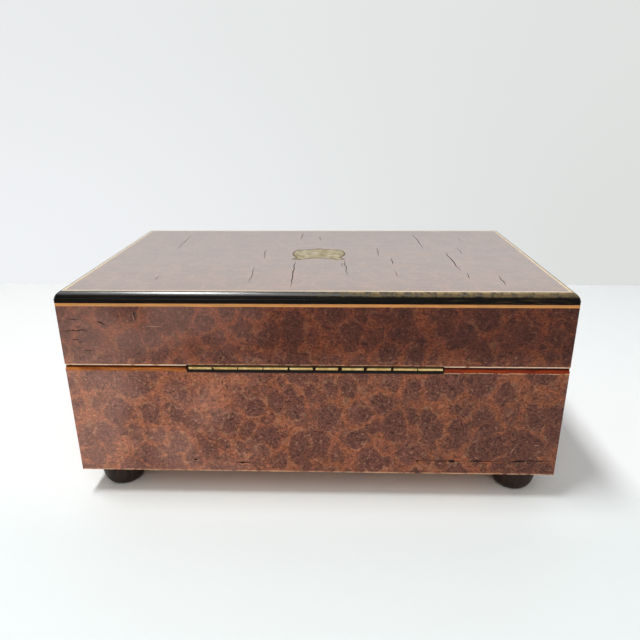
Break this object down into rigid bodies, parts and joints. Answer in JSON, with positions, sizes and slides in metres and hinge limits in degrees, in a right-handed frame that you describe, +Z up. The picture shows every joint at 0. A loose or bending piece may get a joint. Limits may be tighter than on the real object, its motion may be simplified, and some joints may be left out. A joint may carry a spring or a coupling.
{
  "type": "jack in the box",
  "caption": "Rectangular burr-veneered casket on bun feet with a hinged lid, ebonised moulding, brass hinge and a sprung jester figure inside that rises as the lid opens.",
  "frame": {"origin": "on the floor, under the middle of the whole part's outline, key and hinge barrel included", "axes": "+Z up; +X along the length of the case, to the right of someone facing its front; the lock and key are at -Y and the hinge is at +Y"},
  "size_m": [0.2, 0.1374, 0.0915],
  "materials": {
    "carcass_wood": "plain mahogany and pine boards, unpolished",
    "burr_veneer": "burr veneer under aged shellac, satin gloss",
    "ebonised_wood": "ebonised wood under worn shellac, glossy",
    "stringing_wood": "boxwood stringing, yellowed by shellac",
    "edging_wood": "orange shellacked edging wood",
    "foot_wood": "turned and stained wood, worn",
    "lining_paper": "deep red lining paper, matt",
    "brass": "aged brass, unlacquered",
    "steel": "drawn wire and filed steel, dull",
    "disc_wood": "turned beech, unpolished",
    "sleeve_cloth": "pleated cotton, deep red",
    "jacket_cloth": "stuffed wool cloth, dark blue",
    "cap_felt": "wool felt, deep red",
    "ruff_linen": "pleated linen, cream",
    "painted_wood": "turned wood with old flesh-coloured paint"
  },
  "bodies": {
    "case": {"bottom_board": "carcass_wood", "base_front_board": "carcass_wood", "base_back_board": "carcass_wood", "base_left_board": "carcass_wood", "base_right_board": "carcass_wood", "base_front_veneer": "burr_veneer", "base_back_veneer": "burr_veneer", "base_left_veneer": "burr_veneer", "base_right_veneer": "burr_veneer", "base_edging": "edging_wood", "foot_front_left": "foot_wood", "foot_front_right": "foot_wood", "foot_back_left": "foot_wood", "foot_back_right": "foot_wood", "base_lining": "lining_paper", "hinge_base_leaf": "brass", "hinge_pin": "brass", "hinge_base_screws": "brass", "lock_case": "brass", "lock_top_plate": "brass", "lock_screws": "brass", "keyhole_plate": "brass", "spring_base_disc": "disc_wood", "spring_staples": "steel", "coil_spring": "steel", "spring_sleeve": "sleeve_cloth"},
    "lid": {"lid_top_board": "carcass_wood", "lid_front_board": "carcass_wood", "lid_back_board": "carcass_wood", "lid_left_board": "carcass_wood", "lid_right_board": "carcass_wood", "lid_front_veneer": "burr_veneer", "lid_back_veneer": "burr_veneer", "lid_left_veneer": "burr_veneer", "lid_right_veneer": "burr_veneer", "lid_top_veneer": "burr_veneer", "lid_edging": "edging_wood", "lid_side_stringing": "stringing_wood", "lid_top_stringing": "stringing_wood", "moulding_front": "ebonised_wood", "moulding_right": "ebonised_wood", "moulding_back": "ebonised_wood", "moulding_left": "ebonised_wood", "name_plate": "brass", "lid_lining": "lining_paper", "hinge_lid_leaf": "brass", "hinge_lid_screws": "brass", "link_plate": "brass", "link_plate_screws": "brass"},
    "jack": {"jack_disc": "disc_wood", "jack_body": "jacket_cloth", "jack_head": "painted_wood", "jack_ruff": "ruff_linen", "jack_cap": "cap_felt", "jack_bells": "brass", "jack_left_arm": "jacket_cloth", "jack_right_arm": "jacket_cloth", "jack_hands": "painted_wood"},
    "bolt": {"lock_bolt": "brass"},
    "key": {"key": "steel"}
  },
  "joints": [
    {"name": "lid_hinge", "type": "hinge", "parent": "case", "child": "lid", "pos_m": [0, 0.06753, 0.0605], "axis": [-1, 0, 0], "range_deg": [0, 105]},
    {"name": "jack_rise", "type": "slide", "parent": "case", "child": "jack", "axis": [0, 0, 1], "range_m": [0, 0.101], "deforming": ["coil_spring", "spring_sleeve"]},
    {"name": "key_turn", "type": "hinge", "parent": "case", "child": "key", "pos_m": [0, -0.05173, 0.0426], "axis": [0, -1, 0], "range_deg": [0, 180]},
    {"name": "bolt_throw", "type": "slide", "parent": "case", "child": "bolt", "axis": [-1, 0, 0], "range_m": [0, 0.003]}
  ],
  "couplings": [
    {"joint": "jack_rise", "follows": "lid_hinge", "m_per_rad": 0.055},
    {"joint": "bolt_throw", "follows": "key_turn", "m_per_rad": 0.00095}
  ]
}
